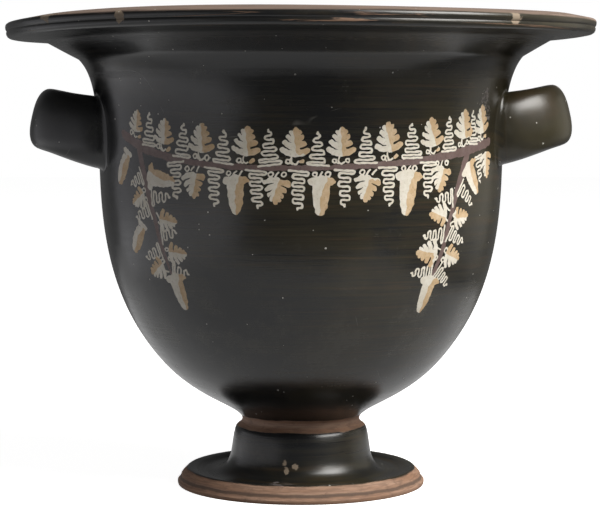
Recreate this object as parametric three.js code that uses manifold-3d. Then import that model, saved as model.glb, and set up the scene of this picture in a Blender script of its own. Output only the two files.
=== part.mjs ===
// Bell krater: a wheel-thrown wine-mixing bowl with a flaring lip, a stemmed disc foot and two strap
// handles, luted together and fired as one piece of clay. Millimetres, +Z up, the wheel axis on Z, the
// resting ring of the foot on z = 0. The painted side faces -Y and the handles stand on -X and +X.

import * as THREE from "three";
import { mergeVertices } from "three/addons/utils/BufferGeometryUtils.js";
import Module from "manifold-3d";

// ---- driving dimensions ----

const FACETS = 60; // sides of the turned body

// The rings below follow the cut outline of the vessel: under the foot, up the outside, over the lip
// and down the inside. `slope` is the way the outline runs at a ring, in degrees: 0 is outwards, 90 up,
// 180 inwards and 270 down. A ring with `sides` is reached by a curve, drawn as that many straight
// sides, and any other by one straight line. A curve keeps the slope of the ring it leaves, and then of
// the ring where it arrives, over this share of its length, unless the ring says otherwise.
const HOLD = 0.36;

// The hollow under the foot, from the axis out to the resting ring.
const RECESS = {
  ceiling: { radius: 0, height: 32, slope: 0, leave: 0.55 },
  stemInside: { radius: 33.5, height: 16, slope: 278, sides: 3 },
  discInside: { radius: 52, height: 3.4, slope: 354, sides: 2 },
  ringEdge: { radius: 61, height: 1.6 },
  ringInner: { radius: 62, height: 0 },
};

// The foot: a disc with a moulded edge, a dished upper face and a stem.
const FOOT = {
  ringOuter: { radius: 74.4, height: 0, slope: 0 },
  torus: { radius: 75.2, height: 2.2, slope: 90, sides: 2 },
  edgeGroove: { radius: 73.4, height: 4.2, slope: 90 },
  edge: { radius: 69.5, height: 9.7, slope: 132, sides: 2 },
  rim: { radius: 66.3, height: 10, slope: 180, sides: 1 },
  dish: { radius: 58, height: 8.1, slope: 180, sides: 2, leave: 0.46 },
  stem: { radius: 43.1, height: 17, slope: 106, sides: 4, arrive: 0.47, leave: 0.27 },
  shoulder: { radius: 38.8, height: 36, slope: 150, sides: 4, arrive: 0.14 },
};

// The bell: from the groove above the foot to the soft corner where the flare under the lip starts.
const BOWL = {
  waist: { radius: 35.7, height: 39.7, slope: 90, sides: 2 },
  base: { radius: 36.8, height: 42.3, slope: 48, sides: 2, leave: 0.18 },
  belly: { radius: 86, height: 78, slope: 50, sides: 5, arrive: 0.49, leave: 0.33 },
  neck: { radius: 121, height: 183, slope: 87.5, sides: 6, arrive: 0.41 },
  corner: { radius: 133.4, height: 258, slope: 46.8, sides: 6, arrive: 0.24 },
};

// The lip: a flare, a flat underside, an outer face of two mouldings and a bevelled top.
const LIP = {
  flare: { radius: 153.3, height: 269 },
  underside: { radius: 172.7, height: 270.3, slope: 0, leave: 0.48 },
  lowerMoulding: { radius: 176, height: 273.5, slope: 90, sides: 2 },
  notch: { radius: 175.6, height: 274.6, slope: 34 },
  upperMoulding: { radius: 176.5, height: 277, slope: 90, sides: 2, leave: 0.48 },
  bevel: { radius: 174.5, height: 279.2, slope: 174, sides: 2 },
  top: { radius: 163, height: 281.5, slope: 172 },
  innerEdge: { radius: 152, height: 278.6, slope: 218, sides: 2 },
};

// The inside: it follows the bell 6.5 mm within and ends on the axis.
const INSIDE = {
  corner: { radius: 128.4, height: 262.4, slope: 222, sides: 2, leave: 0.24 },
  neck: { radius: 114.5, height: 183, slope: 267.5, sides: 4, leave: 0.4 },
  belly: { radius: 81, height: 82.2, slope: 230, sides: 4 },
  floor: { radius: 0, height: 46, slope: 180, sides: 4, arrive: 0.41 },
};

// The lip sagged a little in the kiln: it leans to one side and dips twice along the front.
const LIP_LEAN = 0.7;
const LIP_DIP = 0.7;
const SAG_START = 240; // below this height the body is true
const SAG_END = 268;

// Handles: flat straps bent to a loop whose plane rises outwards, standing on edge to that plane.
const HANDLE = {
  rootRadius: 114, // where the loop's plane is set out from
  buriedRadius: 119, // both ends stop here, in the thickness of the wall
  reach: 40.1, // from the roots to the middle of the strap at the tip, along the loop's plane
  rootHalfSpan: 33, // half the distance between the two ends, middle to middle
  shoulderHalfSpan: 36, // the loop is widest here, a little way out ...
  shoulderReach: 20, // ... at about half the reach
  tipHalfSpan: 25.9, // how far round the blunt tip the strap is pulled square
  rise: THREE.MathUtils.degToRad(13.1),
  halfHeight: 18.3, // of the strap's section at the tip
  halfThickness: 9.3,
  rootGrowHeight: 2.4, // extra half height and half thickness where it spreads on the wall
  rootGrowThickness: 3.2,
  spreadStart: 0.35, // the spreading starts this far from the tip, as a share of the way to the wall
  roundness: 2.6, // exponent of the section: 2 is an ellipse, more is squarer
  sectionSides: 14,
  steps: 18,
};
const HANDLE_SETTINGS = [
  { side: -1, height: 212.6 }, // middle of the roots; the two were not set at quite one level
  { side: 1, height: 215 },
];

const BLACK_SLIP = { color: 0x1a1a17, roughness: 0.28, metalness: 0 };

// ---- the turned body ----

// The curve from one ring to the next: x is the radius and y the height.
function stretch(from, to) {
  const start = new THREE.Vector2(from.radius, from.height);
  const end = new THREE.Vector2(to.radius, to.height);
  if (!to.sides) return new THREE.LineCurve(start, end);
  const chord = start.distanceTo(end);
  const along = ({ slope }, length) =>
    new THREE.Vector2(length, 0).rotateAround(new THREE.Vector2(), THREE.MathUtils.degToRad(slope));
  return new THREE.CubicBezierCurve(
    start,
    start.clone().add(along(from, chord * (from.leave ?? HOLD))),
    end.clone().sub(along(to, chord * (to.arrive ?? HOLD))),
    end,
  );
}

function cutOutline() {
  const rings = [RECESS, FOOT, BOWL, LIP, INSIDE].flatMap((group) => Object.values(group));
  const points = [new THREE.Vector2(rings[0].radius, rings[0].height)];
  for (let i = 1; i < rings.length; i++) {
    const curve = stretch(rings[i - 1], rings[i]);
    points.push(...curve.getPoints(rings[i].sides ?? 1).slice(1));
  }
  return points;
}

function moveEachVertex(geometry, place) {
  const position = geometry.attributes.position;
  const point = new THREE.Vector3();
  for (let i = 0; i < position.count; i++) {
    point.fromBufferAttribute(position, i);
    place(point);
    position.setXYZ(i, point.x, point.y, point.z);
  }
  return geometry;
}

// How far the lip stands above or below true, by the angle from the front towards +X.
function sagLip(point) {
  const azimuth = Math.atan2(point.x, -point.y);
  const sag = LIP_LEAN * Math.sin(azimuth) - LIP_DIP * Math.sin(3 * azimuth);
  point.z += sag * THREE.MathUtils.smoothstep(point.z, SAG_START, SAG_END);
}

function turnedBody() {
  const geometry = new THREE.LatheGeometry(cutOutline(), FACETS);
  geometry.rotateX(Math.PI / 2); // the lathe's own axis is Y
  return moveEachVertex(geometry, sagLip);
}

// ---- the handles ----

// Middle line of the strap in the loop's plane: x outwards from the roots, y along the wall.
function loopLine() {
  const h = HANDLE;
  const half = (sign) => [
    new THREE.Vector2(0, sign * h.rootHalfSpan),
    new THREE.Vector2(h.shoulderReach, sign * h.shoulderHalfSpan),
    new THREE.Vector2(h.reach, sign * h.tipHalfSpan),
    new THREE.Vector2(h.reach, 0),
  ];
  const line = new THREE.CurvePath();
  line.add(new THREE.CubicBezierCurve(...half(-1)));
  line.add(new THREE.CubicBezierCurve(...half(1).reverse()));
  return line;
}

// A rounded oblong of half sizes 1, which the sweep scales: x across the strap, y its height.
function strapSection() {
  const power = 2 / HANDLE.roundness;
  const squared = (value) => Math.sign(value) * Math.abs(value) ** power;
  const corners = Array.from({ length: HANDLE.sectionSides }, (_, i) => {
    const angle = (2 * Math.PI * (i + 0.5)) / HANDLE.sectionSides;
    return new THREE.Vector2(squared(Math.cos(angle)), squared(Math.sin(angle)));
  });
  return new THREE.Shape(corners);
}

function handle({ side, height }) {
  const h = HANDLE;
  const line = loopLine();
  const outwards = new THREE.Vector3(Math.cos(h.rise), 0, Math.sin(h.rise));
  const along = new THREE.Vector3(0, 1, 0);
  const up = new THREE.Vector3(-Math.sin(h.rise), 0, Math.cos(h.rise));
  // The extrusion runs from z = 0 at one root to z = 1 at the other, and is then bent to the loop.
  const strap = new THREE.ExtrudeGeometry(strapSection(), {
    depth: 1,
    steps: h.steps,
    bevelEnabled: false,
  });
  return moveEachVertex(strap, (point) => {
    const t = THREE.MathUtils.clamp(point.z, 0, 1);
    const middle = line.getPointAt(t);
    const run = line.getTangentAt(t);
    const fromTip = Math.abs(2 * t - 1);
    const spread = THREE.MathUtils.smoothstep(fromTip, h.spreadStart, 1);
    const across = point.x * (h.halfThickness + h.rootGrowThickness * spread ** 2);
    const tall = point.y * (h.halfHeight + h.rootGrowHeight * spread);
    point
      .set(h.rootRadius, 0, height)
      .addScaledVector(outwards, middle.x - across * run.y)
      .addScaledVector(along, middle.y + across * run.x)
      .addScaledVector(up, tall);
    if (fromTip === 1) {
      const radius = Math.hypot(point.x, point.y);
      point.x *= h.buriedRadius / radius;
      point.y *= h.buriedRadius / radius;
    }
    point.x *= side; // half a turn for the handle on -X
    point.y *= side;
  });
}

// ---- joining ----

const wasm = await Module();
wasm.setup();

function solidOf(geometry) {
  const bare = geometry.clone();
  bare.deleteAttribute("normal");
  bare.deleteAttribute("uv");
  const merged = mergeVertices(bare);
  return new wasm.Manifold(
    new wasm.Mesh({
      numProp: 3,
      vertProperties: merged.attributes.position.array,
      triVerts: new Uint32Array(merged.index.array),
    }),
  );
}

function geometryOf(solid) {
  const mesh = solid.getMesh();
  const geometry = new THREE.BufferGeometry();
  geometry.setAttribute("position", new THREE.BufferAttribute(mesh.vertProperties, 3));
  geometry.setIndex(new THREE.BufferAttribute(mesh.triVerts, 1));
  geometry.computeVertexNormals();
  return geometry;
}

function krater() {
  let body = solidOf(turnedBody());
  for (const setting of HANDLE_SETTINGS) body = body.add(solidOf(handle(setting)));
  const piece = new THREE.Mesh(geometryOf(body), new THREE.MeshStandardMaterial(BLACK_SLIP));
  piece.name = "krater";
  return piece;
}

const group = new THREE.Group();
group.add(krater());

export default group;
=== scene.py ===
"""Dresses the bell krater: black-gloss slip over fired clay, with a garland in added white, ochre and purple.

The visible piece is one closed mesh. Its turned wall follows the same rings as the CAD part, its two strap
handles run into the wall over small fillets, and the garland is cut into the wall's own faces, so that the
paint lies flush. Sizes are millimetres; the finished mesh is scaled to metres.
"""

import math
import random

import bmesh
import bpy
import numpy as np
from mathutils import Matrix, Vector
from mathutils.geometry import delaunay_2d_cdt


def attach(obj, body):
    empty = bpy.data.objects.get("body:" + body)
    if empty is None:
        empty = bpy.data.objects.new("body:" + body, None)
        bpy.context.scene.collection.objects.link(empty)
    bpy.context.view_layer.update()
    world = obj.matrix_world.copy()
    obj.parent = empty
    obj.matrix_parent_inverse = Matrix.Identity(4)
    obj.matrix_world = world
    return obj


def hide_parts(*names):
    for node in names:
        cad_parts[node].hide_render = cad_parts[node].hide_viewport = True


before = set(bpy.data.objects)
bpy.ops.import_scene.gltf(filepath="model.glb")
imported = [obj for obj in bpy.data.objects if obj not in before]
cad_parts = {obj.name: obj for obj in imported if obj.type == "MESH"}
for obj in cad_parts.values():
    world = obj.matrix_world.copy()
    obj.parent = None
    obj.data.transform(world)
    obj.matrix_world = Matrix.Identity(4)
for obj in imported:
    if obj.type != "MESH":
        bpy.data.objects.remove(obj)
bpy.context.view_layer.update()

MM = 0.001

# ---- the turned outline, as in the CAD part ----

# A ring is (radius, height, slope, leave, arrive). The slope is the way the outline runs there: 0 outwards,
# 90 up, 180 inwards, 270 down. A curve holds the slopes of its two rings over the shares leave and arrive
# of its chord. A ring without a slope is reached by a straight line, and so is one whose `arrive` is 0.
HOLD = 0.36
RECESS = [
    (0, 32, 0, 0.55, 0),
    (33.5, 16, 278, HOLD, HOLD),
    (52, 3.4, 354, HOLD, HOLD),
    (61, 1.6, None, 0, 0),
    (62, 0, None, 0, 0),
]
FOOT = [
    (74.4, 0, 0, HOLD, 0),
    (75.2, 2.2, 90, HOLD, HOLD),
    (73.4, 4.2, 90, HOLD, 0),
    (69.5, 9.7, 132, HOLD, HOLD),
    (66.3, 10, 180, HOLD, HOLD),
    (58, 8.1, 180, 0.46, HOLD),
    (43.1, 17, 106, 0.27, 0.47),
    (38.8, 36, 150, HOLD, 0.14),
]
BOWL = [
    (35.7, 39.7, 90, HOLD, HOLD),
    (36.8, 42.3, 48, 0.18, HOLD),
    (86, 78, 50, 0.33, 0.49),
    (121, 183, 87.5, HOLD, 0.41),
    (133.4, 258, 46.8, 0, 0.24),
]
LIP = [
    (153.3, 269, None, 0, 0),
    (172.7, 270.3, 0, 0.48, 0),
    (176, 273.5, 90, 0, HOLD),
    (175.6, 274.6, 34, HOLD, 0),
    (176.5, 277, 90, 0.48, HOLD),
    (174.5, 279.2, 174, 0, HOLD),
    (163, 281.5, 180, HOLD, 0),
    (152, 278.6, 218, HOLD, HOLD),
]
INSIDE = [
    (128.4, 262.4, 222, 0.24, HOLD),
    (114.5, 183, 267.5, 0.4, HOLD),
    (81, 82.2, 230, HOLD, HOLD),
    (0, 46, 180, 0, 0.41),
]

LIP_LEAN = 0.7
LIP_DIP = 0.7
SAG_START, SAG_END = 240, 268

COLUMNS = 240  # round the wheel axis
SAMPLE = 2.7  # longest side of the fine outline
FINE_SIDES = 4  # least number of sides to a curve

# The band of the outside wall that carries the garland and the handles is triangulated freely.
BAND_LOW, BAND_HIGH, BAND_ROW = 105, 249, 3
FRONT = 84  # degrees each side of the front to the painted part's end, between a handle's roots


def smoothstep(value, low, high):
    t = np.clip((np.asarray(value, float) - low) / (high - low), 0, 1)
    return t * t * (3 - 2 * t)


def direction(slope):
    return np.array([math.cos(math.radians(slope)), math.sin(math.radians(slope))])


def stretch(start, end, sides):
    """Points from one ring to the next, without the first."""
    a, d = np.array(start[:2], float), np.array(end[:2], float)
    t = np.linspace(0, 1, sides + 1)[1:, None]
    if not end[4]:
        return a + (d - a) * t
    chord = np.linalg.norm(d - a)
    b = a + direction(start[2]) * chord * start[3]
    c = d - direction(end[2]) * chord * end[4]
    return (1 - t) ** 3 * a + 3 * t * (1 - t) ** 2 * b + 3 * t * t * (1 - t) * c + t**3 * d


def outline(rings):
    """A fine outline through the rings, as an array of (radius, height)."""
    points = [np.array([rings[0][:2]], float)]
    for start, end in zip(rings, rings[1:]):
        chord = math.dist(start[:2], end[:2])
        least = FINE_SIDES if end[4] else 1
        points.append(stretch(start, end, max(least, math.ceil(chord / SAMPLE))))
    return np.concatenate(points)


BELL = np.concatenate([stretch(low, high, 200) for low, high in zip(BOWL[2:], BOWL[3:])])


def wall_radius(height):
    """Radius of the outside wall, for heights on the bell."""
    return np.interp(height, BELL[:, 1], BELL[:, 0])


def wall_lean(height):
    """How much the radius grows with height."""
    return wall_radius(height + 0.5) - wall_radius(height - 0.5)


def sag(azimuth, height):
    """How far the lip stands above or below true, by the angle in radians from the front towards +X."""
    full = LIP_LEAN * np.sin(azimuth) - LIP_DIP * np.sin(3 * azimuth)
    return full * smoothstep(height, SAG_START, SAG_END)


def on_wheel(radius, degrees, height):
    """A point in space from its radius, its angle from the front and its height."""
    azimuth = np.radians(degrees)
    radius, azimuth, height = np.broadcast_arrays(radius, azimuth, height)
    return np.stack([radius * np.sin(azimuth), -radius * np.cos(azimuth), height + sag(azimuth, height)], -1)


# ---- faces in the making ----


class Faces:
    """Collects faces with their corners' places in space and on the map, and their material."""

    def __init__(self):
        self.corners, self.places, self.sizes, self.materials = [], [], [], []

    def add(self, corners, places, material=0):
        """corners is (faces, corners, 3) and places (faces, corners, 2); material is one index or many."""
        self.corners.append(corners.reshape(-1, 3))
        self.places.append(places.reshape(-1, 2))
        self.sizes.append(np.full(len(corners), corners.shape[1]))
        self.materials.append(np.broadcast_to(material, len(corners)))

    def grid(self, points, places, material=0):
        """Quads of a (rows, columns, 3) grid, facing so that rows x columns points out."""
        def quads(a):
            return np.stack([a[:-1, :-1], a[:-1, 1:], a[1:, 1:], a[1:, :-1]], 2).reshape(-1, 4, a.shape[-1])
        self.add(quads(points), quads(places), material)


def rectangle(box, across, up):
    """Map places in the rectangle (left, right, low, high) from shares across and up."""
    left, right, low, high = box
    across, up = np.broadcast_arrays(across, up)
    return np.stack([left + (right - left) * across, low + (high - low) * up], -1)


# Where each part of the surface lies on the map: the painted front gets the most room.
MAP_FRONT = (0.01, 0.99, 0.572, 0.99)
MAP_BACK = (0.01, 0.62, 0.375, 0.56)
MAP_HANDLES = [(0.64, 0.81, 0.375, 0.56), (0.82, 0.99, 0.375, 0.56)]
MAP_LOWER = (0.01, 0.99, 0.2, 0.36)
MAP_LIP = (0.01, 0.99, 0.1, 0.19)
MAP_INSIDE = (0.01, 0.49, 0.01, 0.09)
MAP_RECESS = (0.51, 0.99, 0.01, 0.09)


def turn(faces, points, box):
    """Adds the surface that the outline makes round the wheel axis."""
    degrees = np.linspace(-180, 180, COLUMNS + 1)
    steps = np.linalg.norm(np.diff(points, axis=0), axis=1)
    along = np.concatenate([[0], np.cumsum(steps)]) / steps.sum()
    surface = on_wheel(points[:, None, 0], degrees[None], points[:, None, 1])
    faces.grid(surface, rectangle(box, np.linspace(0, 1, COLUMNS + 1)[None], along[:, None]))


# ---- the garland, drawn on the unrolled wall ----

# The canvas is the unrolled front: x is the angle as an arc at the garland's radius, z the height.
ARC = math.radians(1) * 121  # millimetres to a degree
PITCH = 0.25
CANVAS_EDGE = 4  # bare millimetres at each end
CANVAS_X = np.arange(-FRONT * ARC + CANVAS_EDGE, FRONT * ARC - CANVAS_EDGE, PITCH)
CANVAS_Z = np.arange(BAND_LOW + 1.5, BAND_HIGH - 1.5, PITCH)
FAR = 9.0  # the field where nothing is near
OUTLINE_TOLERANCE = 0.045
LINE = 0.62  # half width of a thin stroke


def canvas():
    return np.full((len(CANVAS_Z), len(CANVAS_X)), FAR)


paint, shade, stem = canvas(), canvas(), canvas()


class Motif:
    """A brush at work on a small patch of the canvas, in its own axes: v away from where the motif grows."""

    def __init__(self, degrees, height, turn=0.0, size=1.0, mirror=1):
        x = degrees * ARC
        self.size = size
        cos, sin = math.cos(math.radians(turn)), math.sin(math.radians(turn))
        squeeze = ARC / (math.radians(1) * float(wall_radius(height)))
        reach = 30 * size
        columns = slice(*np.searchsorted(CANVAS_X, [x - reach, x + reach]))
        rows = slice(*np.searchsorted(CANVAS_Z, [height - reach, height + reach]))
        self.window = rows, columns
        dx = (CANVAS_X[columns] - x)[None] / squeeze
        dz = (CANVAS_Z[rows] - height)[:, None]
        unsteady = 0.16 * np.sin(0.9 * dx + 1.3 * dz + x) + 0.1 * np.sin(1.9 * dx - 1.3 * dz + height)
        self.u = mirror * (dx * cos + dz * sin) / size + unsteady
        self.v = (-dx * sin + dz * cos) / size + 0.8 * unsteady
        self.field = np.full(self.u.shape, FAR)

    def away(self, spots):
        """Distance from a stroke through spots of (u, v, half width), its width changing evenly."""
        nearest = np.full(self.u.shape, FAR)
        for (ax, ay, ar), (bx, by, br) in zip(spots, spots[1:]):
            dx, dy = bx - ax, by - ay
            px, py = self.u - ax, self.v - ay
            t = np.clip((px * dx + py * dy) / max(dx * dx + dy * dy, 1e-9), 0, 1)
            np.minimum(nearest, np.hypot(px - t * dx, py - t * dy) - (ar + t * (br - ar)), out=nearest)
        return nearest

    def dab(self, *spots):
        np.minimum(self.field, self.away(spots * 2 if len(spots) == 1 else spots), out=self.field)

    def slit(self, *spots):
        """Leaves a line of bare slip."""
        np.maximum(self.field, -self.away(spots), out=self.field)

    def line(self, points, half_width=LINE):
        self.dab(*[(x, y, half_width) for x, y in points])

    def finish(self, wash=None):
        """Puts the motif down in white, with an ochre wash where the wash function is below 0."""
        if wash is not None:
            ours = self.field < np.minimum(paint[self.window], 0.6)
            shade[self.window] = np.where(ours, wash(self.u, self.v), shade[self.window])
        paint[self.window] = np.minimum(paint[self.window], self.field * self.size)


def leaf(motif, hand, ball=False):
    """An oak-like leaf: white fingers on the left, rounder lobes under the wash on the right."""
    motif.dab((0, 2.4, 2.2), (0, 8, 3.3), (0.3, 12, 2.3), (0.4, 14.9, 1.6))
    motif.dab((0, 1.9, 1.8), (-4.2, 2.4, 1.55), (-7.0, 4.0, 1.4))
    motif.dab((0, 5.2, 1.7), (-3.3, 6.3, 1.55), (-5.5, 8.0, 1.4))
    motif.dab((-1, 8.7, 1.6), (-3.6, 11.2, 1.4))
    motif.dab((-0.6, 11, 1.5), (-2.2, 13.6, 1.25))
    if ball:
        motif.dab((2, 3.2, 1.8), (4.6, 3.4, 1.8), (6.2, 3.6, 2.3))
    else:
        motif.dab((0, 2.0, 2.0), (4.4, 2.6, 1.8), (6.9, 3.9, 1.5))
    motif.dab((1, 6.6, 1.9), (5.0, 7.6, 1.5))
    motif.dab((1, 9.4, 1.8), (3.7, 11.0, 1.4))
    motif.dab((0.5, 11.5, 1.5), (2.5, 13.8, 1.2))
    motif.slit((-9, 6.9, 0.3), (-5.0, 4.9, 0.27), (-1.7, 3.9, 0.12))
    motif.slit((-8, 11.6, 0.3), (-3.9, 8.6, 0.24), (-1.9, 7.7, 0.1))
    motif.slit((-4.6, 13.4, 0.25), (-2.2, 11.4, 0.1))
    motif.slit((8.6, 6.6, 0.3), (4.8, 5.3, 0.26), (2.4, 4.9, 0.1))
    middle, lean = hand.uniform(-0.3, 1.1), hand.uniform(-0.3, 0)
    foot = hand.uniform(-1, 2.6)
    motif.finish(lambda u, v: np.maximum(middle + lean * (v - 8) - u, foot - v + 0.5 * np.sin(1.7 * u)))


def cone(motif, hand):
    """A long fruit hanging from two round lobes."""
    motif.dab((-5.2, 2.5, 2.2), (5.3, 2.3, 2.1))
    motif.dab((5.3, 2.4, 2.2), (7.4, 2.7, 0.9))
    motif.dab((0, 4, 4.9), (0, 10, 4.7), (-0.1, 15, 4.0), (-0.3, 18.6, 2.7))
    top, middle = hand.uniform(2.6, 3.6), hand.uniform(-0.4, 0.6)
    motif.finish(lambda u, v: np.maximum(middle, top - 0.36 * v) - u + 0.25 * np.sin(0.8 * v))


def fruit(motif, hand):
    """A plump fruit with a narrow cap of two small lobes."""
    motif.dab((-3.0, 1.6, 1.5), (2.4, 1.2, 1.4))
    motif.dab((-0.2, 4, 3.2), (0, 9, 4.2), (0.1, 13, 4.1), (0.2, 16.8, 2.9))
    motif.slit((-5, 3.6, 0.2), (-1.4, 3.2, 0.12))
    edge = hand.uniform(-0.6, 0.4)
    motif.finish(lambda u, v: np.maximum(edge - u + 0.6 * np.sin(0.5 * v), 2.4 - v))


def serpentine(heights, widths):
    """Points of a tendril: straight strokes at the heights, joined by round turns, the first to the right."""
    points = [(-widths[0], heights[0])]
    side = 1
    for k in range(len(heights) - 1):
        radius = abs(heights[k + 1] - heights[k]) / 2
        reach = side * max(widths[k + 1] - radius, 0.3)
        for angle in np.linspace(-0.5 * math.pi, 0.5 * math.pi, 7):
            up = heights[k] + radius * (1 + math.sin(angle))
            points.append((reach + side * radius * math.cos(angle), up))
        side = -side
    points.append((side * -0.2, heights[-1] + 0.3))
    return points


def tendril(motif, hand, length, flat, root, base, tip):
    """A squiggle: flat long strokes beside the stem, then swings that narrow to a blob."""
    steps = [hand.uniform(1.5, 1.9) for _ in range(flat)]
    rest = length - 1.6 - sum(steps)
    swings = max(3, round(rest / 2.25))
    steps += [rest / swings * hand.uniform(0.92, 1.08) for _ in range(swings)]
    heights = [0.5]
    for step in steps:
        heights.append(heights[-1] + step)
    widths = [root] + [root * hand.uniform(0.93, 1.03) for _ in range(flat)]
    for k in range(swings):
        share = k / max(swings - 1, 1)
        widths.append((base + (tip - base) * share) * hand.uniform(0.9, 1.1))
    slant = hand.uniform(0.0, 0.12)
    points = [(x, y + slant * x * max(0.3, 1 - y / 9)) for x, y in serpentine(heights, widths)]
    motif.line(points)
    motif.dab((points[-1][0], points[-1][1] + 0.1, 0.95), (points[-1][0] * 0.5, points[-1][1] + 0.9, 0.6))
    motif.finish()


def curl(hand, degrees, height, kind, turn=0.0):
    """One small stroke between the stem and a leaf."""
    motif = Motif(degrees, height, turn + hand.uniform(-18, 18), hand.uniform(0.9, 1.1))
    if kind in ("ring", "tailed"):
        motif.line([(1.2 * math.sin(a), 1.25 * math.cos(a)) for a in np.linspace(0, 2 * math.pi, 11)], 0.47)
    if kind == "tailed":
        motif.line([(1.1, 1.1), (1.4, -0.9), (2.3, -1.5)], 0.45)
    if kind == "hook":
        motif.line([(-1.3, 2.1), (-1.4, 0.2), (-0.7, -1.3), (0.6, -1.5), (1.7, -0.6)], 0.5)
    if kind == "comma":
        motif.line([(-1.0, -1.2), (-0.3, 0.2), (0.7, 1.3)], 0.5)
    if kind == "blob":
        motif.dab((-0.6, -0.3, 0.9), (0.7, 0.3, 1.1))
    motif.finish(lambda u, v: u * 0 + (-1 if kind == "blob" else 1))


def swag(degrees):
    """Height of the garland's stem, which sags between its two ends and rises faster on the left."""
    degrees = np.asarray(degrees, float)
    return 195.2 + np.where(degrees < 0, 1.03e-4 * np.abs(degrees) ** 3, 0.0034 * degrees**2)


def swag_turn(degrees):
    return math.degrees(math.atan(float(swag(degrees + 0.5) - swag(degrees - 0.5)) / ARC)) * 0.6


def lay_stem(points, half_widths):
    """Paints a run of stem through (degrees, height) points, with a wavering edge."""
    run_x, run_z = np.array(points).T
    run_x = run_x * ARC
    for k in range(len(points) - 1):
        low_x, high_x = sorted(run_x[k : k + 2])
        low_z, high_z = sorted(run_z[k : k + 2])
        columns = slice(*np.searchsorted(CANVAS_X, [low_x - 5, high_x + 5]))
        rows = slice(*np.searchsorted(CANVAS_Z, [low_z - 5, high_z + 5]))
        x, z = np.meshgrid(CANVAS_X[columns], CANVAS_Z[rows])
        dx, dz = run_x[k + 1] - run_x[k], run_z[k + 1] - run_z[k]
        t = np.clip(((x - run_x[k]) * dx + (z - run_z[k]) * dz) / (dx * dx + dz * dz), 0, 1)
        edge = 0.22 * np.sin(0.31 * x) + 0.2 * np.sin(0.83 * x + 0.5 * z) + 0.12 * np.sin(1.9 * x - z)
        wide = half_widths[k] + t * (half_widths[k + 1] - half_widths[k]) + edge
        away = np.hypot(x - run_x[k] - t * dx, z - run_z[k] - t * dz) - wide
        stem[rows, columns] = np.minimum(stem[rows, columns], away)


# Half widths of the stem along it, by degrees from the front.
STEM = [
    (-56, 2.4),
    (-49, 2.9),
    (-40, 2.3),
    (-28, 1.7),
    (-10, 1.5),
    (12, 1.5),
    (34, 2.1),
    (50, 2.7),
    (63, 2.4),
]

# Where the painter set the motifs, in degrees: leaves with a tendril between them over the stem ...
UPPER_LEAVES = [-50.2, -39.2, -27, -14.5, -1.6, 10.4, 23.7, 37.2, 49, 58.4]
# ... and tendrils with a leaf or a cone between them under it.
LOWER_TENDRILS = [-35.2, -23.2, -11.7, -0.5, 11.4, 23.3, 35.8]
LOWER_LEAVES = [-29.6, -6.1, 17.8, 40.6]
LOWER_CONES = [-17.4, 5.3, 29.6]

# Two pendants hang from the stem along (degrees, height, half width). On each side of them grow motifs:
# (kind, height of the root, turn, length). Turn is 0 upwards, 90 to the left and 180 down.
LEFT_PENDANT = {
    "line": [(-49.0, 207, 2.2), (-46.6, 188, 1.9), (-43.4, 165, 1.6), (-41.2, 146, 1.4), (-39.6, 135, 1.0)],
    "left": [
        ("fruit", 204, 146, 20.5),
        ("tendril", 190, 118, 13.5),
        ("leaf", 179, 116, 13),
        ("tendril", 170.5, 108, 15),
        ("fruit", 162.5, 140, 19),
        ("tendril", 147.5, 106, 15.5),
        ("leaf", 139, 112, 13.5),
    ],
    "right": [
        ("cone", 189.5, -97, 21),
        ("tendril", 178, -90, 15.5),
        ("leaf", 165, -94, 13.5),
        ("tendril", 156.5, -82, 13),
        ("leaf", 146, -90, 13.5),
        ("tendril", 137, -101, 13),
    ],
}
RIGHT_PENDANT = {
    "line": [(51.2, 204, 2.3), (47.2, 184, 2.0), (44.3, 163, 1.7), (42.7, 146, 1.5), (40.6, 134, 1.2)],
    "left": [
        ("tendril", 177.5, 90, 15.5),
        ("leaf", 168.5, 88, 14),
        ("tendril", 157, 91, 17),
        ("leaf", 146.5, 86, 16),
        ("tendril", 136, 91, 16),
    ],
    "right": [
        ("cone", 196, -143, 21),
        ("tendril", 183.5, -128, 17.5),
        ("leaf", 165, -82, 13.5),
        ("tendril", 157.5, -114, 16),
        ("leaf", 145, -103, 14),
        ("tendril", 137, -130, 16),
    ],
}
PENDANT_TIPS = [(-38.6, 134.5, -170), (40.0, 133, 172)]  # degrees, height and turn of the last cones


def stem_top(degrees):
    return float(swag(degrees) + np.interp(degrees, *np.array(STEM).T))


def draw_upper_row(hand):
    for i, at in enumerate(UPPER_LEAVES):
        size = 1.0 - 0.1 * max(0, 2 - i)
        base = stem_top(at) + 4.2 * size + hand.uniform(-0.3, 0.3)
        leaf(Motif(at, base, swag_turn(at) + hand.uniform(-5, 5), size * hand.uniform(0.98, 1.04)), hand)
        for k, kind in enumerate(("tailed", "hook", hand.choice(("blob", "ring")))):
            place = at + (k - 1) * 1.75
            curl(hand, place, stem_top(place) + 2.0, kind)
    for left, right in zip(UPPER_LEAVES, UPPER_LEAVES[1:]):
        at = (left + right) / 2
        turn = swag_turn(at) + hand.uniform(-3, 3)
        motif = Motif(at, stem_top(at) - 0.5, turn, 0.96, mirror=hand.choice((-1, 1)))
        root = (right - left) / 2 * 1.02
        tendril(motif, hand, hand.uniform(19, 20.5), hand.choice((1, 2, 2)), root, root * 0.74, 1.6)


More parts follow.
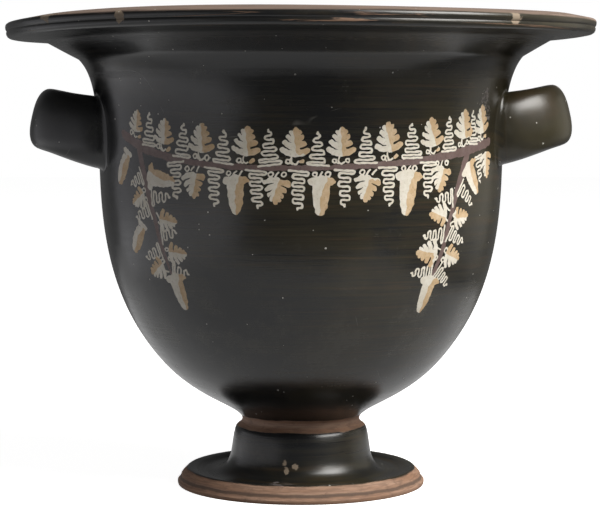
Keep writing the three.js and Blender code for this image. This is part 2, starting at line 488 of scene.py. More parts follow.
def draw_lower_row(hand):
    for at in LOWER_TENDRILS:
        motif = Motif(at, float(swag(at)) - 1.4, 180 + hand.uniform(-3, 3), mirror=hand.choice((-1, -1, 1)))
        tendril(motif, hand, hand.uniform(20, 21.5), 1, 5.7, 3.7, 2.6)
    for at in LOWER_LEAVES + LOWER_CONES:
        top = float(swag(at)) - 1.9
        if at in LOWER_LEAVES:
            leaf(Motif(at, top - 3.0, 180 + hand.uniform(-8, 8), 0.93, mirror=-1), hand, ball=True)
        else:
            size = 1.16 if at == LOWER_CONES[-1] else 1.0
            cone(Motif(at, top - 3.2, 180 + hand.uniform(-3, 3), size, mirror=-1), hand)
        for k, small in enumerate(("ring", "comma", hand.choice(("comma", "ring")))):
            curl(hand, at + (k - 1) * 1.7, top - 1.7, small)


def draw_pendant(pendant, hand):
    line = np.array(pendant["line"])
    for facing, key in ((-1, "left"), (1, "right")):
        for kind, height, turn, length in pendant[key]:
            at = float(np.interp(-height, -line[:, 1], line[:, 0])) + facing * 0.9
            if kind == "tendril":
                motif = Motif(at, height, turn, 0.93, mirror=hand.choice((-1, 1)))
                tendril(motif, hand, length, 1, 5.6, 3.6, 2.2)
            elif kind == "leaf":
                upright = facing if pendant is LEFT_PENDANT else -facing * (1 if facing < 0 else -1)
                motif = Motif(at + facing * 0.8, height, turn, length / 16.5, mirror=-upright)
                leaf(motif, hand)
                for k in (-1, 1):
                    place = height + k * 2.6
                    across = float(np.interp(-place, -line[:, 1], line[:, 0])) + facing * 1.55
                    curl(hand, across, place, hand.choice(("ring", "comma", "hook")), turn)
            elif kind == "cone":
                cone(Motif(at + facing * 0.5, height, turn, length / 21.3, mirror=-facing), hand)
            else:
                fruit(Motif(at + facing * 4.2, height, turn, length / 17.4, mirror=-1), hand)


def draw_garland():
    hand = random.Random(7)
    along = np.linspace(STEM[0][0], STEM[-1][0], 50)
    lay_stem(list(zip(along, swag(along))), np.interp(along, *np.array(STEM).T))
    for pendant, (degrees, height, turn) in zip((LEFT_PENDANT, RIGHT_PENDANT), PENDANT_TIPS):
        lay_stem([place[:2] for place in pendant["line"]], [place[2] for place in pendant["line"]])
        draw_pendant(pendant, hand)
        cone(Motif(degrees, height, turn, 0.98, mirror=-1), hand)
    draw_upper_row(hand)
    draw_lower_row(hand)
    tendril(Motif(56.5, 201, 194, 0.95), hand, 16.5, 1, 4.6, 3.4, 1.8)
    leaf(Motif(61, 203, 190, 0.95, mirror=-1), hand)


# ---- outlines of the painted areas ----


def crossings(field):
    """Chains of points round the areas where the field is below 0, in canvas millimetres."""
    rows, columns = field.shape
    inside = field < 0

    def crossing(a, b, place_a, place_b):
        share = a / (a - b)
        return place_a + (place_b - place_a) * share

    places = {}
    flat = np.argwhere(inside[:, :-1] != inside[:, 1:])
    for r, c in flat:
        x = crossing(field[r, c], field[r, c + 1], CANVAS_X[c], CANVAS_X[c + 1])
        places[(0, r, c)] = (x, CANVAS_Z[r])
    upright = np.argwhere(inside[:-1] != inside[1:])
    for r, c in upright:
        z = crossing(field[r, c], field[r + 1, c], CANVAS_Z[r], CANVAS_Z[r + 1])
        places[(1, r, c)] = (CANVAS_X[c], z)
    links = {}
    busy = {(r, c) for r, c in flat} | {(r - 1, c) for r, c in flat}
    busy |= {(r, c) for r, c in upright} | {(r, c - 1) for r, c in upright}
    for r, c in busy:
        if not (0 <= r < rows - 1 and 0 <= c < columns - 1):
            continue
        edges = [e for e in ((0, r, c), (1, r, c + 1), (0, r + 1, c), (1, r, c)) if e in places]
        if len(edges) == 4:
            middle = field[r : r + 2, c : c + 2].mean() < 0
            same = middle == inside[r, c]
            pairs = [(0, 1), (2, 3)] if same else [(0, 3), (1, 2)]
            edges = [(edges[a], edges[b]) for a, b in pairs]
        else:
            edges = [tuple(edges)] if len(edges) == 2 else []
        for a, b in edges:
            links.setdefault(a, []).append(b)
            links.setdefault(b, []).append(a)
    chains = []
    left = set(links)
    while left:
        start = min(left)
        chain = [start]
        left.discard(start)
        while True:
            onward = [e for e in links[chain[-1]] if e in left]
            if not onward:
                break
            chain.append(onward[0])
            left.discard(onward[0])
        closed = len(chain) > 2 and start in links[chain[-1]]
        points = np.array([places[e] for e in chain + chain[:1] * closed])
        if len(points) > 3:
            chains.append(points)
    return chains


def simplified(points, tolerance):
    """Keeps the points that the line can't do without (Douglas and Peucker's way)."""
    keep = np.zeros(len(points), bool)
    keep[[0, -1]] = True
    middle = len(points) // 2
    keep[middle] = True
    spans = [(0, middle), (middle, len(points) - 1)]
    while spans:
        a, b = spans.pop()
        if b - a < 2:
            continue
        run = points[b] - points[a]
        off = points[a + 1 : b] - points[a]
        length = math.hypot(*run)
        if length > 1e-9:
            away = np.abs(run[0] * off[:, 1] - run[1] * off[:, 0]) / length
        else:
            away = np.hypot(off[:, 0], off[:, 1])
        worst = int(np.argmax(away))
        if away[worst] > tolerance:
            keep[a + 1 + worst] = True
            spans += [(a, a + 1 + worst), (a + 1 + worst, b)]
    return points[keep]


def look_up(field, x, z):
    """The field's value at canvas places, FAR outside the canvas."""
    column = (x - CANVAS_X[0]) / PITCH
    row = (z - CANVAS_Z[0]) / PITCH
    c = np.clip(column.astype(int), 0, len(CANVAS_X) - 2)
    r = np.clip(row.astype(int), 0, len(CANVAS_Z) - 2)
    fx, fz = column - c, row - r
    value = (
        field[r, c] * (1 - fx) * (1 - fz)
        + field[r, c + 1] * fx * (1 - fz)
        + field[r + 1, c] * (1 - fx) * fz
        + field[r + 1, c + 1] * fx * fz
    )
    outside = (column < 0) | (row < 0) | (column > len(CANVAS_X) - 1) | (row > len(CANVAS_Z) - 1)
    return np.where(outside, FAR, value)


def parts_of(points, wanted):
    """Splits a chain where `wanted` is false."""
    parts, current = [], []
    for point, good in zip(points, wanted):
        if good:
            current.append(point)
        elif current:
            parts.append(np.array(current))
            current = []
    if current:
        parts.append(np.array(current))
    return [p for p in parts if len(p) > 2]


def garland_edges():
    """Chains along every visible edge of the paint."""
    chains = [simplified(c, OUTLINE_TOLERANCE) for c in crossings(paint)]
    for field, visible in ((shade, lambda here: here < 0.15), (stem, lambda here: here > -0.15)):
        for chain in crossings(field):
            under = look_up(paint, chain[:, 0], chain[:, 1])
            chains += [simplified(p, OUTLINE_TOLERANCE) for p in parts_of(chain, visible(under))]
    return chains


# ---- handles ----

HANDLE_SIDES = [(-1, 212.6), (1, 215)]  # side and height of the roots' middle
ROOT_RADIUS = 114
REACH = 40.1
ROOT_HALF_SPAN, SHOULDER_HALF_SPAN, TIP_HALF_SPAN = 33, 36, 25.9
SHOULDER_REACH = 20
RISE = math.radians(13.1)
HALF_HEIGHT, HALF_THICKNESS = 18.3, 9.3
ROOT_GROW_HEIGHT, ROOT_GROW_THICKNESS = 2.4, 3.2
SPREAD_START = 0.35
ROUNDNESS = 2.6
STRAP_SIDES = 46
STRAP_STEPS = 72
STRAP_LENGTH = 150  # of the loop, near enough to turn the fillet's width into a share of it
FILLET = 3.6
FILLET_STEPS = 5


def loop_line(t):
    """Middle of the strap in the loop's plane at t from 0 to 1, and the unit direction it runs in."""
    t = np.asarray(t, float)
    root = np.array([0, ROOT_HALF_SPAN])
    shoulder = np.array([SHOULDER_REACH, SHOULDER_HALF_SPAN])
    corner = np.array([REACH, TIP_HALF_SPAN])
    tip = np.array([REACH, 0])
    s = np.where(t < 0.5, 2 * t, 2 - 2 * t)[..., None]
    r = 1 - s
    place = r**3 * root + 3 * s * r**2 * shoulder + 3 * s**2 * r * corner + s**3 * tip
    run = 3 * r**2 * (shoulder - root) + 6 * s * r * (corner - shoulder) + 3 * s**2 * (tip - corner)
    first = (t < 0.5)[..., None]
    place = np.where(first, place * [1, -1], place)
    run = np.where(first, run * [1, -1], -run)
    return place, run / np.linalg.norm(run, axis=-1, keepdims=True)


def strap_point(t, angle, side, height):
    """A point on the strap's skin: t along the loop, angle round its section."""
    squared = lambda v: np.sign(v) * np.abs(v) ** (2 / ROUNDNESS)
    middle, run = loop_line(t)
    spread = smoothstep(np.abs(2 * t - 1), SPREAD_START, 1)
    across = squared(np.cos(angle)) * (HALF_THICKNESS + ROOT_GROW_THICKNESS * spread**2)
    tall = squared(np.sin(angle)) * (HALF_HEIGHT + ROOT_GROW_HEIGHT * spread)
    out = middle[..., 0] - across * run[..., 1]
    along = middle[..., 1] + across * run[..., 0]
    x = ROOT_RADIUS + out * math.cos(RISE) - tall * math.sin(RISE)
    z = height + out * math.sin(RISE) + tall * math.cos(RISE)
    return np.stack([side * x, side * along, z], -1)


def strap_on_wall(angle, side, height, near_end):
    """The t at which each line along the strap meets the wall, by halving."""
    inner = np.zeros_like(angle) if near_end else np.ones_like(angle)
    outer = np.full_like(angle, 0.5)
    for _ in range(40):
        middle = (inner + outer) / 2
        point = strap_point(middle, angle, side, height)
        free = np.hypot(point[:, 0], point[:, 1]) > wall_radius(point[:, 2])
        outer = np.where(free, middle, outer)
        inner = np.where(free, inner, middle)
    return outer


def on_wall(points):
    """The points moved straight in or out to the wall."""
    radius = np.hypot(points[..., 0], points[..., 1])
    moved = points.copy()
    moved[..., :2] *= (wall_radius(points[..., 2]) / radius)[..., None]
    return moved


def strap(side, height):
    """Rings of points from one root to the other, each root spreading over a fillet on the wall."""
    angle = np.linspace(0, 2 * math.pi, STRAP_SIDES, endpoint=False)
    share = FILLET / STRAP_LENGTH
    t_low = strap_on_wall(angle, side, height, True)
    t_high = strap_on_wall(angle, side, height, False)

    def root(t_wall, inward):
        hit = on_wall(strap_point(t_wall, angle, side, height))
        free = strap_point(t_wall - inward * share, angle, side, height)
        middle = hit.mean(0)
        normal = on_wall(hit) * [1, 1, 0]
        normal /= np.linalg.norm(normal, axis=1, keepdims=True)
        ahead = np.roll(hit, -1, 0) - np.roll(hit, 1, 0)
        outward = np.cross(ahead, normal)
        outward /= np.linalg.norm(outward, axis=1, keepdims=True)
        if ((hit - middle) * outward).sum() < 0:
            outward = -outward
        rim = on_wall(hit + outward * FILLET)
        s = np.linspace(0, 1, FILLET_STEPS + 1)[:, None, None]
        return (1 - s) ** 2 * rim + 2 * s * (1 - s) * hit + s * s * free

    low, high = root(t_low, -1), root(t_high, 1)
    s = np.linspace(0, 1, STRAP_STEPS)[:, None]
    t = (t_low + share) * (1 - s) + (t_high - share) * s
    body = strap_point(t, np.broadcast_to(angle, t.shape), side, height)
    return np.concatenate([low, body[1:-1], high[::-1]])


def unrolled(points):
    """(degrees, height) of points on the wall."""
    return np.stack([np.degrees(np.arctan2(points[:, 0], -points[:, 1])), points[:, 2]], -1)


# ---- the freely triangulated band ----

BLACK, WHITE, OCHRE, PURPLE = range(4)


def add_band(faces, straps):
    degrees = np.linspace(-180, 180, COLUMNS + 1)
    heights = np.arange(BAND_LOW, BAND_HIGH + 1e-6, BAND_ROW)
    vertices, edges = [], []

    def chain(points, closed=False):
        first = len(vertices)
        vertices.extend(Vector((x, z)) for x, z in points)
        edges.extend((first + i, first + i + 1) for i in range(len(points) - 1))
        if closed:
            edges.append((len(vertices) - 1, first))

    x_of = degrees * ARC
    for column in (x_of[0], x_of[-1], -FRONT * ARC, FRONT * ARC):
        chain([(column, z) for z in heights])
    for row in (heights[0], heights[-1]):
        chain([(x, row) for x in x_of])
    rims = []
    for rings in straps:
        for ring in (rings[0], rings[-1]):
            places = unrolled(ring) * [ARC, 1]
            rims.append(places)
            chain(places, closed=True)
    for points in garland_edges():
        chain(points)

    def clear_of_rims(x, z):
        for rim in rims:
            low, high = rim.min(0) - 0.5, rim.max(0) + 0.5
            if low[0] < x < high[0] and low[1] < z < high[1]:
                gaps = rim - [x, z]
                if np.hypot(gaps[:, 0], gaps[:, 1]).min() < 1.0:
                    return False
        return True

    for x in x_of[1:-1]:
        for z in heights[1:-1]:
            if clear_of_rims(x, z):
                vertices.append(Vector((x, z)))
    points, _, triangles, *_ = delaunay_2d_cdt(vertices, edges, [], 0, 1e-5, False)
    points = np.array([tuple(p) for p in points])
    triangles = np.array([t for t in triangles if len(t) == 3])
    corners = points[triangles]
    area = np.cross(corners[:, 1] - corners[:, 0], corners[:, 2] - corners[:, 0])
    corners = np.where((area < 0)[:, None, None], corners[:, ::-1], corners)
    middle = corners.mean(1)
    kept = np.abs(area) > 1e-9
    for rim in rims:
        kept &= ~inside_polygon(rim, middle)
    corners, middle = corners[kept], middle[kept]
    here = [look_up(field, middle[:, 0], middle[:, 1]) for field in (paint, shade, stem)]
    painted = np.where(here[1] < 0, OCHRE, WHITE)
    unpainted = np.where(here[2] < 0, PURPLE, BLACK)
    material = np.where(here[0] < 0, painted, unpainted)
    angle, height = corners[..., 0] / ARC, corners[..., 1]
    up = (height - BAND_LOW) / (BAND_HIGH - BAND_LOW)
    front = (np.abs(middle[:, 0]) < FRONT * ARC)[:, None, None]
    behind = np.where(angle < 0, angle + 360, angle)
    places = np.where(
        front,
        rectangle(MAP_FRONT, (angle + FRONT) / (2 * FRONT), up),
        rectangle(MAP_BACK, (behind - FRONT) / (360 - 2 * FRONT), up),
    )
    faces.add(on_wheel(wall_radius(height), angle, height), places, material)


def inside_polygon(polygon, points):
    inside = np.zeros(len(points), bool)
    near = np.all((points > polygon.min(0)) & (points < polygon.max(0)), axis=1)
    x, z = points[near].T
    odd = np.zeros(len(x), bool)
    for (ax, az), (bx, bz) in zip(polygon, np.roll(polygon, -1, 0)):
        crosses = (az > z) != (bz > z)
        with np.errstate(divide="ignore", invalid="ignore"):
            at = ax + (z - az) * (bx - ax) / (bz - az)
        odd ^= crosses & (x < at)
    inside[near] = odd
    return inside


# ---- the whole mesh ----


def add_straps(faces, straps):
    for rings, box in zip(straps, MAP_HANDLES):
        closed = np.concatenate([rings, rings[:, :1]], 1)
        closed[..., 2] += sag(np.arctan2(closed[..., 0], -closed[..., 1]), closed[..., 2])
        rows, columns = closed.shape[:2]
        places = rectangle(box, np.linspace(0, 1, columns)[None], np.linspace(0, 1, rows)[:, None])
        faces.grid(closed, places)


def outline_runs():
    """The outline in runs, each with its place on the map; the band is left out."""
    outside = outline(FOOT + BOWL + LIP)
    band = (outside[:, 0] > 80) & (outside[:, 1] > BAND_LOW) & (outside[:, 1] < BAND_HIGH)
    first, last = np.flatnonzero(band)[[0, -1]]
    low = np.array([[float(wall_radius(BAND_LOW)), BAND_LOW]])
    high = np.array([[float(wall_radius(BAND_HIGH)), BAND_HIGH]])
    return [
        (outline(RECESS + FOOT[:1]), MAP_RECESS),
        (np.concatenate([outside[:first], low]), MAP_LOWER),
        (np.concatenate([high, outside[last + 1 :]]), MAP_LIP),
        (outline(LIP[-1:] + INSIDE), MAP_INSIDE),
    ]


def krater_mesh():
    faces = Faces()
    straps = [strap(side, height) for side, height in HANDLE_SIDES]
    for points, box in outline_runs():
        turn(faces, points, box)
    add_band(faces, straps)
    add_straps(faces, straps)
    corners = np.concatenate(faces.corners) * MM
    places = np.concatenate(faces.places)
    sizes = np.concatenate(faces.sizes)
    starts = np.concatenate([[0], np.cumsum(sizes)[:-1]])
    mesh = bpy.data.meshes.new("krater_dressed")
    mesh.vertices.add(len(corners))
    mesh.vertices.foreach_set("co", corners.ravel())
    mesh.loops.add(len(corners))
    mesh.loops.foreach_set("vertex_index", np.arange(len(corners)))
    mesh.polygons.add(len(sizes))
    mesh.polygons.foreach_set("loop_start", starts)
    mesh.polygons.foreach_set("material_index", np.concatenate(faces.materials))
    layer = mesh.uv_layers.new(name="OFBake")
    layer.data.foreach_set("uv", places.ravel())
    mesh.update(calc_edges=True)
    work = bmesh.new()
    work.from_mesh(mesh)
    bmesh.ops.remove_doubles(work, verts=work.verts, dist=2e-6)
    bmesh.ops.dissolve_degenerate(work, edges=work.edges, dist=1e-7)
    work.to_mesh(mesh)
    work.free()
    return mesh


def shade_smooth(mesh):
    """Smooth all over, sharp at creases, with the bell's true normals where its faces are irregular."""
    mesh.polygons.foreach_set("use_smooth", np.ones(len(mesh.polygons), bool))
    mesh.set_sharp_from_angle(angle=math.radians(38))
    co = np.empty(len(mesh.vertices) * 3)
    mesh.vertices.foreach_get("co", co)
    co = co.reshape(-1, 3) / MM
    radius = np.hypot(co[:, 0], co[:, 1])
    on_bell = (co[:, 2] > BAND_LOW - 8) & (co[:, 2] < BAND_HIGH + 0.01)
    on_bell &= np.abs(radius - wall_radius(co[:, 2])) < 0.03
    normals = np.zeros_like(co)
    normals[:, 0] = co[:, 0] / np.maximum(radius, 1e-9)
    normals[:, 1] = co[:, 1] / np.maximum(radius, 1e-9)
    normals[:, 2] = -wall_lean(co[:, 2])
    normals /= np.linalg.norm(normals, axis=1, keepdims=True)
    normals[~on_bell] = 0
    corner = np.empty(len(mesh.loops), int)
    mesh.loops.foreach_get("vertex_index", corner)
    mesh.normals_split_custom_set(normals[corner].tolist())


draw_garland()
mesh = krater_mesh()
shade_smooth(mesh)
krater = bpy.data.objects.new("krater_dressed", mesh)
bpy.context.scene.collection.objects.link(krater)


# ---- materials ----


class Graph:
    """Adds nodes to a tree. A value given for an input is either a number or another node's output."""

    def __init__(self, tree):
        self.tree = tree

    def node(self, kind, settings=None, **inputs):
        made = self.tree.nodes.new(kind)
        for name, value in (settings or {}).items():
            setattr(made, name, value)
        for name, value in inputs.items():
            self.feed(made, name.replace("_", " "), value)
        return made

    def feed(self, made, name, value):
        """Gives an input its value. An input without a name of its own goes by i and its number."""
        socket = made.inputs[int(name[1:])] if name[0] == "i" and name[1:].isdigit() else made.inputs[name]
        if isinstance(value, bpy.types.NodeSocket):
            self.tree.links.new(value, socket)
        else:
            socket.default_value = value

    def math(self, operation, a, b=0.0, clamp=False):
        settings = {"operation": operation, "use_clamp": clamp}
        return self.node("ShaderNodeMath", settings, i0=a, i1=b).outputs[0]

    def plus(self, a, b):
        return self.math("ADD", a, b)

    def times(self, a, b):
        return self.math("MULTIPLY", a, b)

    def most(self, first, *others):
        """The greatest of the values."""
        for other in others:
            first = self.math("MAXIMUM", first, other)
        return first

    def swing(self, pattern, amount):
        """A pattern of values about 0.5, centred on 0 and scaled."""
        return self.times(self.math("SUBTRACT", pattern, 0.5), amount)

    def ramp(self, value, low, high, to_low=0.0, to_high=1.0, kind="SMOOTHSTEP"):
        """Maps low..high to to_low..to_high and holds it there outside."""
        made = self.node("ShaderNodeMapRange", {"interpolation_type": kind}, Value=value)
        for name, number in zip(("From Min", "From Max", "To Min", "To Max"), (low, high, to_low, to_high)):
            self.feed(made, name, number)
        return made.outputs[0]

    def band(self, value, start, full, fade, end):
        """1 from full to fade, and 0 before start and after end."""
        return self.times(self.ramp(value, start, full), self.ramp(value, fade, end, 1, 0))

    def mix(self, factor, a, b, blend="MIX"):
        made = self.tree.nodes.new("ShaderNodeMix")
        made.data_type, made.blend_type = "RGBA", blend
        for index, value in ((0, factor), (6, a), (7, b)):
            if isinstance(value, bpy.types.NodeSocket):
                self.tree.links.new(value, made.inputs[index])
            else:
                made.inputs[index].default_value = value if index == 0 else (*value, 1)
        return made.outputs[2]

    def either(self, mask, a, b):
        """Vector a where the mask is 0 and b where it is 1."""
        made = self.node("ShaderNodeMix", {"data_type": "VECTOR"}, i0=mask)
        self.tree.links.new(a, made.inputs[4])
        self.tree.links.new(b, made.inputs[5])
        return made.outputs[1]

    def noise(self, vector, scale, detail=3.0, roughness=0.55, distortion=0.0):
        made = self.node("ShaderNodeTexNoise", None, Vector=vector, Scale=scale, Detail=detail)
        made.inputs["Roughness"].default_value = roughness
        made.inputs["Distortion"].default_value = distortion
        return made.outputs["Fac"]

    def spots(self, vector, scale, size, share):
        """1 inside small round spots, one to a cell in the given share of the cells."""
        cell = self.node("ShaderNodeTexVoronoi", None, Vector=vector, Scale=scale)
        tone = self.node("ShaderNodeSeparateColor", None, Color=cell.outputs["Color"])
        width = self.ramp(tone.outputs["Green"], 0, 1, size * 0.4, size, "LINEAR")
        inside = self.math("LESS_THAN", cell.outputs["Distance"], width)
        return self.times(inside, self.math("LESS_THAN", tone.outputs["Red"], share))

    def blot(self, place, centre, size):
        """1 inside one ragged patch of about this size at a place."""
        away = self.node("ShaderNodeVectorMath", {"operation": "DISTANCE"}, i0=place)
        away.inputs[1].default_value = centre
        wander = self.swing(self.noise(place, 150, 4, 0.65), size * 3)
        return self.ramp(self.plus(away.outputs["Value"], wander), size * 0.85, size * 1.1, 1, 0)

    def blots(self, place, marks):
        """Patches listed as (degrees from the front, radius, height, size) in millimetres."""
        def one(degrees, radius, height, size):
            return self.blot(place, Vector(on_wheel(radius, degrees, height)) * MM, size * MM)
        return self.most(*[one(*mark) for mark in marks])


def surface(name):
    """A new material: its graph, its shader and the places on the piece that its patterns follow."""
    material = bpy.data.materials.new(name)
    material.use_nodes = True
    graph = Graph(material.node_tree)
    shader = material.node_tree.nodes["Principled BSDF"]
    place = graph.node("ShaderNodeTexCoord").outputs["Object"]
    x, y, z = graph.node("ShaderNodeSeparateXYZ", None, Vector=place).outputs
    radius = graph.math("SQRT", graph.plus(graph.times(x, x), graph.times(y, y)))
    # Brush and wheel streaks run round the axis: fine across the outline, long round the pot.
    across = graph.plus(z, graph.times(radius, 0.7))
    streak = graph.node("ShaderNodeCombineXYZ", None, X=x, Y=y, Z=graph.times(across, 38.0)).outputs[0]
    return material, graph, shader, place, (x, z, radius), streak


SLIP_BLACK = (0.0095, 0.0100, 0.0108)
SLIP_OLIVE = (0.0340, 0.0285, 0.0145)
SLIP_BROWN = (0.0560, 0.0345, 0.0170)
DUST = (0.055, 0.051, 0.040)
CLAY = (0.26, 0.142, 0.085)
CLAY_PALE = (0.36, 0.23, 0.16)
CLAY_DARK = (0.12, 0.068, 0.045)
# Painted shade: the dark line cast by the small groove low on the foot's edge.
GROOVE_SHADE = (0.06, 0.038, 0.027)
RUBBED = (0.23, 0.165, 0.13)
CHIP_RED = (0.27, 0.155, 0.095)
CHIP_PALE = (0.29, 0.225, 0.16)
SCUFF = (0.36, 0.31, 0.31)
LIME = (0.62, 0.60, 0.55)

# Single marks as (degrees from the front, radius, height, size) in millimetres.
FOOT_CHIPS = [(-13, 44.5, 19.5, 2.2), (-11, 45.5, 15.5, 2.4), (-4, 45, 17, 2.6)]
LIP_CHIPS = [(-53, 174, 279, 4.5), (-33, 176, 276, 3), (41, 176, 276, 3.5)]
FOOT_SCUFFS = [(-12, 60, 9, 8)]
ROOT_SCUFFS = [(58, 126, 233, 5), (61, 124, 226, 5)]
HANDLE_SCUFFS = [(-88, 150, 232, 9), (88, 152, 240, 8), (95, 136, 228, 9)]


def slip_tone(g, place, streak, streaks, fine, x, z):
    """The sound slip's colour, blacker on the left and more olive on the right, and where it is dusty."""
    side = g.plus(g.times(x, 4.2), g.swing(g.noise(place, 11, 4, 0.6, 0.6), 2.4))
    olive = g.ramp(g.plus(side, g.swing(streaks, 1.5)), -0.5, 0.9)
    colour = g.mix(olive, SLIP_BLACK, SLIP_OLIVE)
    rusty = g.ramp(g.noise(streak, 9, 4, 0.65, 0.5), 0.5, 0.72)
    colour = g.mix(g.times(rusty, olive), colour, SLIP_BROWN)
    low_belly = g.band(z, 0.055, 0.085, 0.105, 0.145)
    haze = g.times(low_belly, g.ramp(g.noise(place, 34, 5, 0.7), 0.46, 0.66))
    dust = g.most(g.times(haze, 0.6), g.ramp(g.noise(place, 48, 5, 0.72), 0.6, 0.74, 0, 0.35))
    colour = g.mix(dust, colour, DUST)
    thin = g.ramp(fine, 0.3, 0.75, 0.84, 1.18, "LINEAR")
    gray = g.node("ShaderNodeCombineColor", None, Red=thin, Green=thin, Blue=thin).outputs[0]
    return g.mix(1.0, colour, gray, "MULTIPLY"), dust


def bare_clay(g, place, streak, z, radius):
    """The clay's colour, with painted shade in the small groove low on the foot's edge, and where it is bare:
    the groove over the foot, the foot's edge and all under it.
    """
    ragged = g.swing(g.noise(place, 60, 4), 0.0022)
    low, near = g.plus(z, ragged), g.plus(radius, ragged)
    groove = g.times(g.band(low, 0.0354, 0.0361, 0.0424, 0.0432), g.math("LESS_THAN", radius, 0.05))
    edge = g.times(g.ramp(near, 0.0690, 0.0700), g.ramp(low, 0.0112, 0.0120, 1, 0))
    normal = g.node("ShaderNodeNewGeometry").outputs["Normal"]
    facing = g.node("ShaderNodeSeparateXYZ", None, Vector=normal).outputs[2]
    under = g.times(g.math("LESS_THAN", facing, -0.05), g.math("LESS_THAN", z, 0.0335))
    clay = g.mix(g.ramp(g.noise(streak, 16, 4, 0.6, 0.4), 0.35, 0.75), CLAY, CLAY_PALE)
    clay = g.mix(g.ramp(g.noise(place, 130, 4, 0.7), 0.52, 0.75, 0, 0.7), clay, CLAY_DARK)
    wheel_lines = g.ramp(g.noise(streak, 120, 2, 0.5), 0.42, 0.62, 0, 0.45)
    clay = g.mix(wheel_lines, clay, CLAY_DARK)
    # The small groove low on the foot's edge is darkened with painted shade, the dark line that it casts.
    painted_shade_in_foot_groove = g.band(low, 0.0034, 0.0042, 0.0052, 0.0060)
    return g.mix(g.times(painted_shade_in_foot_groove, 0.75), clay, GROOVE_SHADE), g.most(groove, edge, under)


def wear(g, place, streak, z, radius, colour):
    """The colour with the rubbed top of the lip, the chips and the scuffs, and where these are."""
    top = g.times(g.ramp(z, 0.2780, 0.2792), g.math("GREATER_THAN", radius, 0.150))
    rubbed = g.times(top, g.times(g.ramp(g.noise(streak, 12, 4, 0.7, 0.4), 0.22, 0.5), 0.9))
    rim = g.times(g.ramp(z, 0.2690, 0.2705), g.math("GREATER_THAN", radius, 0.168))
    chips = g.times(rim, g.times(g.ramp(g.noise(streak, 10, 5, 0.75, 1.0), 0.61, 0.66), 0.75))
    chipped = g.blots(place, FOOT_CHIPS + LIP_CHIPS)
    scuffed = g.blots(place, FOOT_SCUFFS + ROOT_SCUFFS + HANDLE_SCUFFS)
    scuffed = g.times(scuffed, g.ramp(g.noise(place, 260, 4, 0.7), 0.42, 0.62, 0, 0.5))
    colour = g.mix(rubbed, colour, RUBBED)
    colour = g.mix(chips, colour, CHIP_RED)
    colour = g.mix(g.times(chipped, 0.85), colour, CHIP_PALE)
    return g.mix(scuffed, colour, SCUFF), g.most(rubbed, chips, chipped, scuffed)


def specks(g, place, handle, colour):
    """The colour with hairline scratches and white specks of lime from the clay, and where the specks are."""
    lime = g.most(g.spots(place, 95, 0.06, 0.3), g.spots(place, 300, 0.15, 0.07))
    lime = g.most(lime, g.times(handle, g.spots(place, 190, 0.12, 0.22)))
    hair = g.math("ABSOLUTE", g.math("SUBTRACT", g.noise(place, 17, 0), 0.47))
    scratch = g.times(g.ramp(hair, 0.0004, 0.0022, 1, 0), g.ramp(g.noise(place, 31, 2), 0.6, 0.66))
    colour = g.mix(g.times(scratch, 0.14), colour, LIME)
    return g.mix(g.times(lime, 0.8), colour, LIME), lime


def slip():
    """Black gloss over the whole pot, with the bare clay, wear and dirt that show on it."""
    material, g, shader, place, (x, z, radius), streak = surface("black_slip")
    handle = g.times(g.ramp(radius, 0.1265, 0.1285), g.ramp(z, 0.247, 0.249, 1, 0))
    streak = g.either(handle, streak, place)  # the handles weren't made on the wheel
    streaks = g.noise(streak, 14, 4, 0.65, 0.3)
    fine = g.noise(streak, 55, 3, 0.6)

    colour, dust = slip_tone(g, place, streak, streaks, fine, x, z)
    colour, worn = wear(g, place, streak, z, radius, colour)
    colour, lime = specks(g, place, handle, colour)
    clay, bare = bare_clay(g, place, streak, z, radius)
    g.feed(shader, "Base Color", g.mix(bare, colour, clay))

    foot_and_lip = g.most(g.ramp(z, 0.030, 0.040, 1, 0), g.ramp(z, 0.262, 0.268))
    gloss = g.ramp(streaks, 0.3, 0.7, 0.19, 0.27, "LINEAR")
    gloss = g.plus(gloss, g.times(g.most(foot_and_lip, handle), 0.07))
    gloss = g.plus(gloss, g.times(dust, 0.12))
    dull = g.times(g.most(bare, worn, lime), 0.5)
    g.feed(shader, "Roughness", g.math("ADD", gloss, dull, clamp=True))
    shader.inputs["IOR"].default_value = 1.5

    grain = g.times(g.noise(place, 420, 3, 0.6), g.ramp(bare, 0, 1, 0.05, 0.5))
    relief = g.plus(g.times(g.noise(place, 26, 2, 0.5), 3.0), g.times(fine, 0.22))
    bump = g.node("ShaderNodeBump", None, Height=g.plus(relief, grain), Strength=0.35, Distance=0.0006)
    g.feed(shader, "Normal", bump.outputs[0])
    return material


def paint_material(name, colour, pale, dark, roughness):
    """Added colour over the slip: chalky, speckled and a little rubbed."""
    material, g, shader, place, *_ = surface(name)
    mottled = g.mix(g.ramp(g.noise(place, 210, 3, 0.6), 0.35, 0.7), colour, pale)
    mottled = g.mix(g.ramp(g.noise(place, 900, 3, 0.7), 0.52, 0.72, 0, 0.6), mottled, dark)
    worn = g.ramp(g.noise(place, 330, 5, 0.75), 0.66, 0.74)
    g.feed(shader, "Base Color", g.mix(g.times(worn, 0.75), mottled, SLIP_OLIVE))
    g.feed(shader, "Roughness", g.ramp(g.noise(place, 500, 2), 0.3, 0.7, roughness - 0.08, roughness + 0.08))
    bump = g.node("ShaderNodeBump", None, Height=g.noise(place, 1100, 3, 0.6), Strength=0.25, Distance=0.0002)
    g.feed(shader, "Normal", bump.outputs[0])
    return material


PAINTS = (  # name, main, pale and dark colour, and roughness, in the order of WHITE, OCHRE and PURPLE
    ("white_paint", (0.71, 0.655, 0.55), (0.79, 0.745, 0.655), (0.50, 0.43, 0.32), 0.62),
    ("ochre_wash", (0.57, 0.395, 0.22), (0.66, 0.50, 0.32), (0.34, 0.205, 0.10), 0.6),
    ("purple_stem", (0.14, 0.09, 0.08), (0.175, 0.12, 0.11), (0.06, 0.04, 0.035), 0.5),
)
mesh.materials.append(slip())
for look in PAINTS:
    mesh.materials.append(paint_material(*look))

# ---- stage, light and camera ----

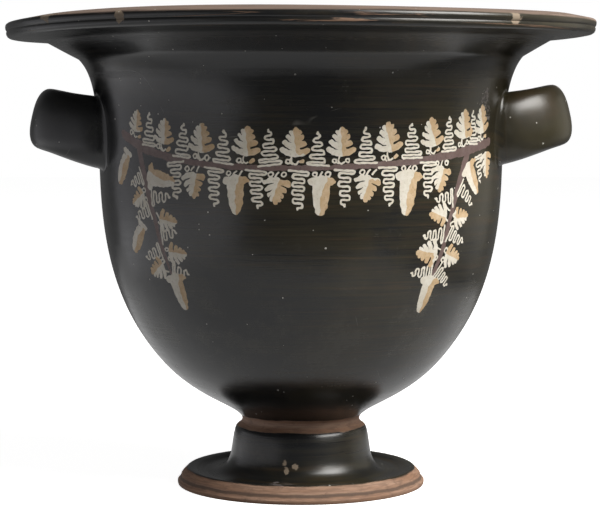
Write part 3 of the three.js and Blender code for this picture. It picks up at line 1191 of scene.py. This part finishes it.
bpy.context.scene.view_settings.view_transform = "Standard"


def floor_material(strength):
    """A plain pale surface that also gives off light of its own."""
    material = bpy.data.materials.new("pale_floor")
    material.use_nodes = True
    shader = material.node_tree.nodes["Principled BSDF"]
    shader.inputs["Base Color"].default_value = (0.86, 0.86, 0.86, 1)
    shader.inputs["Roughness"].default_value = 0.9
    shader.inputs["Specular IOR Level"].default_value = 0.0
    shader.inputs["Emission Color"].default_value = (1, 1, 1, 1)
    shader.inputs["Emission Strength"].default_value = strength
    return material


floor_mesh = bpy.data.meshes.new("floor")
span = 6.0
floor_corners = [(-span, -span, 0), (span, -span, 0), (span, span, 0), (-span, span, 0)]
floor_mesh.from_pydata(floor_corners, [], [(0, 1, 2, 3)])
floor_mesh.materials.append(floor_material(0.93))
floor = bpy.data.objects.new("floor", floor_mesh)
bpy.context.scene.collection.objects.link(floor)
floor.visible_glossy = False
floor.visible_diffuse = False

world = bpy.data.worlds.new("studio")
bpy.context.scene.world = world
world.use_nodes = True
sky = Graph(world.node_tree)
background = world.node_tree.nodes["Background"]
background.inputs["Color"].default_value = (1, 1, 1, 1)
seen = sky.node("ShaderNodeLightPath").outputs["Is Camera Ray"]
toward = sky.node("ShaderNodeTexCoord").outputs["Generated"]
rise = sky.node("ShaderNodeSeparateXYZ", None, Vector=toward).outputs[2]
room = sky.ramp(rise, 0.22, 0.5, 0.135, 0.05)  # the room is darker above than around
sky.feed(background, "Strength", sky.math("MAXIMUM", room, seen))


MIDDLE = (0, 0, 0.14)  # about the middle of the krater, in metres


def softbox(name, azimuth, elevation, distance, width, height, radiance, colour=(1, 1, 1), aim=MIDDLE):
    """A rectangular lamp seen from the krater at an angle from the front towards +X and above the horizon."""
    data = bpy.data.lights.new(name, "AREA")
    data.shape = "RECTANGLE"
    data.size, data.size_y = width, height
    data.color = colour
    data.energy = radiance * math.pi * width * height
    lamp = bpy.data.objects.new(name, data)
    bpy.context.scene.collection.objects.link(lamp)
    a, e = math.radians(azimuth), math.radians(elevation)
    way = Vector((math.sin(a) * math.cos(e), -math.cos(a) * math.cos(e), math.sin(e)))
    lamp.location = Vector(aim) + way * distance
    lamp.rotation_euler = way.to_track_quat("Z", "Y").to_euler()
    return lamp


softbox("left_panel", -80, -4, 1.3, 2.6, 0.85, 0.5, (0.96, 0.95, 1.0))
softbox("key", 57, 41, 1.5, 0.95, 0.95, 14.0, (1.0, 0.985, 0.95))
softbox("right_fill", 112, 6, 1.6, 1.2, 1.0, 0.42, (1.0, 0.95, 0.84))

# The lower bowl and the neck mirror a pale table top, brighter just before the krater than beside it.
for name, x, y, width, depth, radiance in (
    ("table", 0.0, 0.0, 0.7, 0.8, 0.62),
    ("table_left", -0.8, -0.3, 0.9, 1.6, 0.4),
    ("table_right", 0.75, -0.2, 0.6, 1.2, 0.16),
):
    table = softbox(name, 0, -90, 0.139, width, depth, radiance, aim=(x, y, 0.14))
    table.visible_camera = False
    table.visible_diffuse = False

camera_data = bpy.data.cameras.new("camera")
camera_data.lens = 120
camera_data.sensor_width = 36
camera = bpy.data.objects.new("camera", camera_data)
bpy.context.scene.collection.objects.link(camera)
camera.location = (-0.0005, -1.2127, 0.2241)
camera.rotation_euler = (math.radians(90 - 3.98), 0, 0)
bpy.context.scene.camera = camera

# ---- frame ----

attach(krater, "root")
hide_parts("krater")
